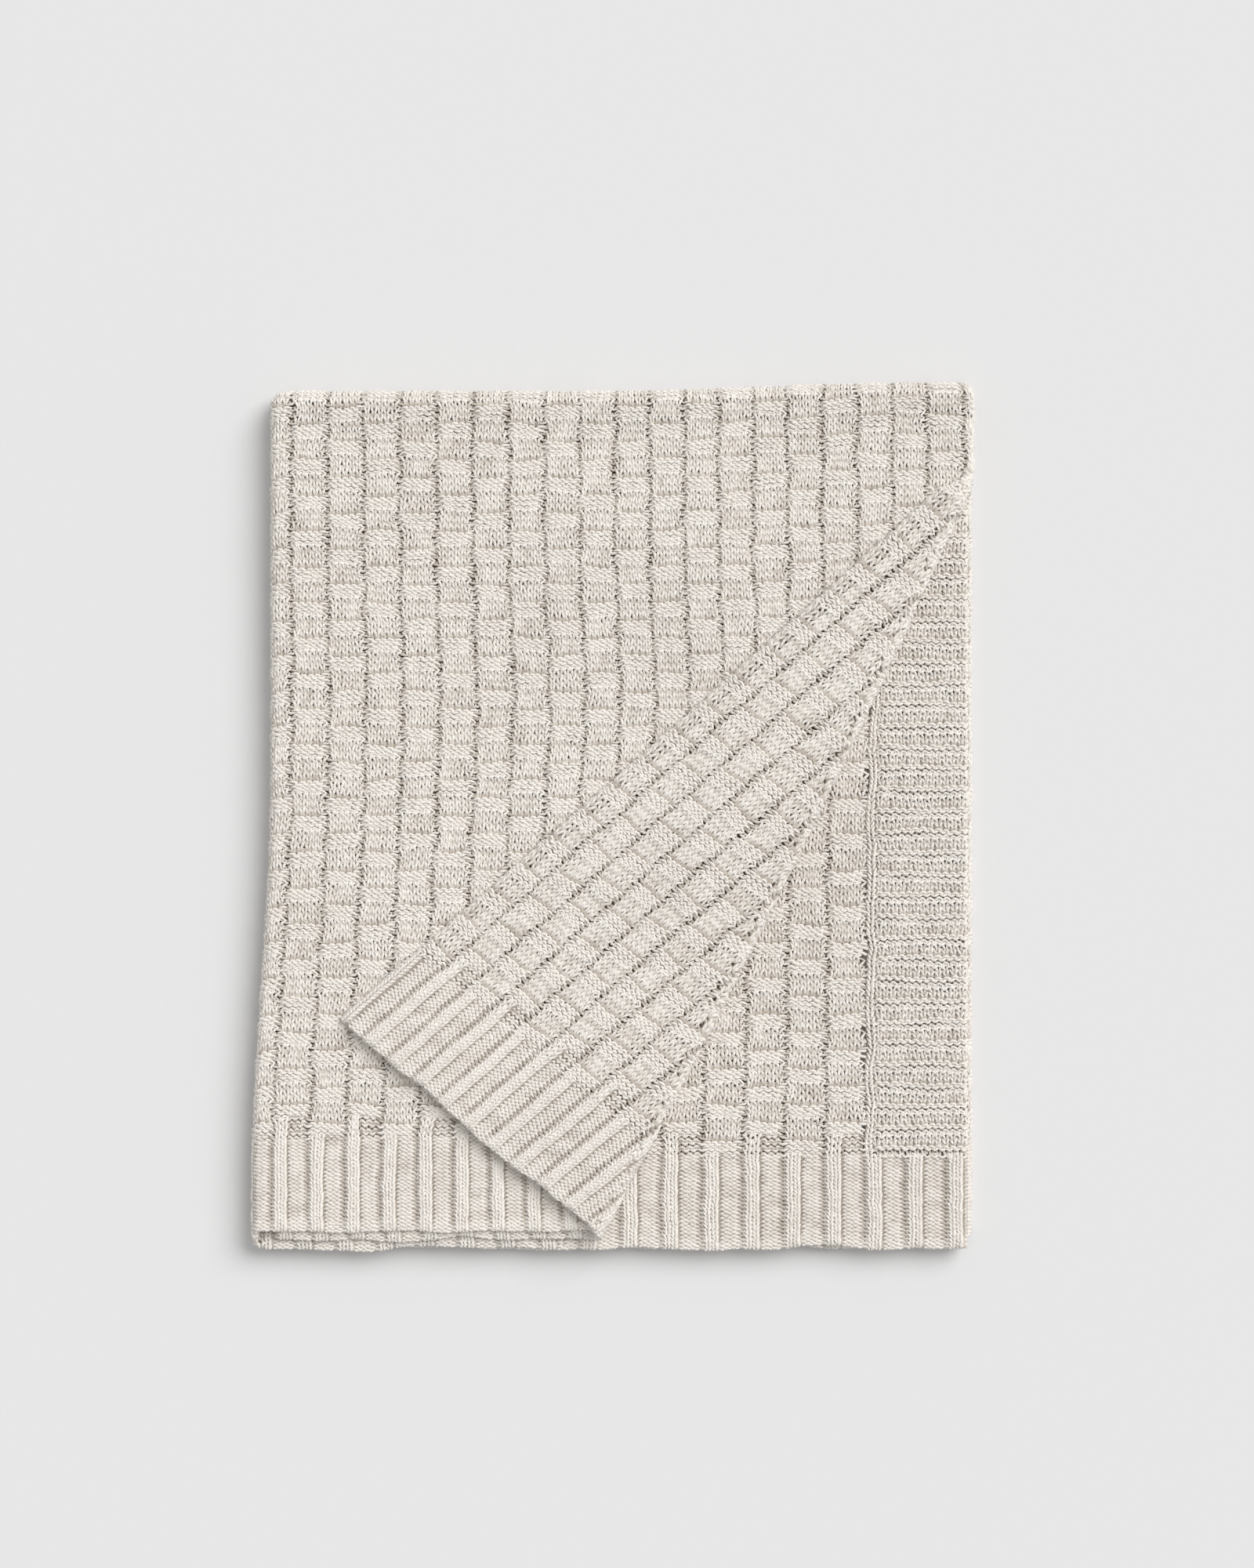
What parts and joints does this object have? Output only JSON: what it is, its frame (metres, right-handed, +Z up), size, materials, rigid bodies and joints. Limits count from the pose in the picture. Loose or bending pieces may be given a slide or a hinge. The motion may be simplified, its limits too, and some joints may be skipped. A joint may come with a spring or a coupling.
{
  "type": "folded throw blanket",
  "caption": "Knitted cotton throw folded flat into a soft rectangle, basket-weave knit with rib hems and garter side borders, one corner turned back.",
  "frame": {"origin": "centre of the folded throw's underside, on the surface it lies on", "axes": "+Z up; +Y towards the top fold, away from the rib hems; +X towards the side with the turned-back corner"},
  "size_m": [0.524, 0.628, 0.0341],
  "materials": {
    "basket_knit": "matt cotton yarn, basket-weave knit in small checks of ridges and plain rows",
    "rib_knit": "matt cotton yarn, close rib",
    "garter_knit": "matt cotton yarn, level ridges",
    "turned_knit": "matt cotton yarn where the cloth turns round a fold"
  },
  "bodies": {
    "lower_half": {"lower_outer_field": "basket_knit", "lower_outer_hem": "rib_knit", "lower_outer_top_turn": "turned_knit", "lower_tucked_field": "basket_knit", "lower_tucked_hem": "rib_knit", "lower_tucked_top_turn": "turned_knit", "lower_inner_field": "basket_knit", "lower_inner_hem": "rib_knit", "lower_inner_top_turn": "turned_knit", "lower_tucked_border": "garter_knit", "lower_inner_border": "garter_knit", "lower_left_fold": "turned_knit", "lower_right_fold": "turned_knit"},
    "upper_half": {"upper_outer_field": "basket_knit", "upper_outer_hem": "rib_knit", "upper_outer_top_turn": "turned_knit", "upper_tucked_field": "basket_knit", "upper_tucked_hem": "rib_knit", "upper_tucked_top_turn": "turned_knit", "upper_inner_field": "basket_knit", "upper_inner_hem": "rib_knit", "upper_inner_top_turn": "turned_knit", "upper_tucked_border": "garter_knit", "upper_inner_border": "garter_knit", "upper_left_fold": "turned_knit", "upper_right_fold": "turned_knit", "upper_outer_crease": "turned_knit", "upper_tucked_crease": "turned_knit"},
    "corner_flap": {"flap_outer_field": "basket_knit", "flap_outer_hem": "rib_knit", "flap_tucked_field": "basket_knit", "flap_tucked_hem": "rib_knit", "flap_folded_edge": "turned_knit", "flap_outer_crease": "turned_knit", "flap_tucked_crease": "turned_knit"}
  },
  "joints": [
    {"name": "half_fold", "type": "hinge", "parent": "lower_half", "child": "upper_half", "pos_m": [0, 0.314, 0.01275], "axis": [-1, 0, 0], "range_deg": [0, 150]},
    {"name": "corner_crease", "type": "hinge", "parent": "upper_half", "child": "corner_flap", "pos_m": [0.262, 0.244, 0.02565], "axis": [0.4429, 0.8966, 0], "range_deg": [0, 170]}
  ]
}
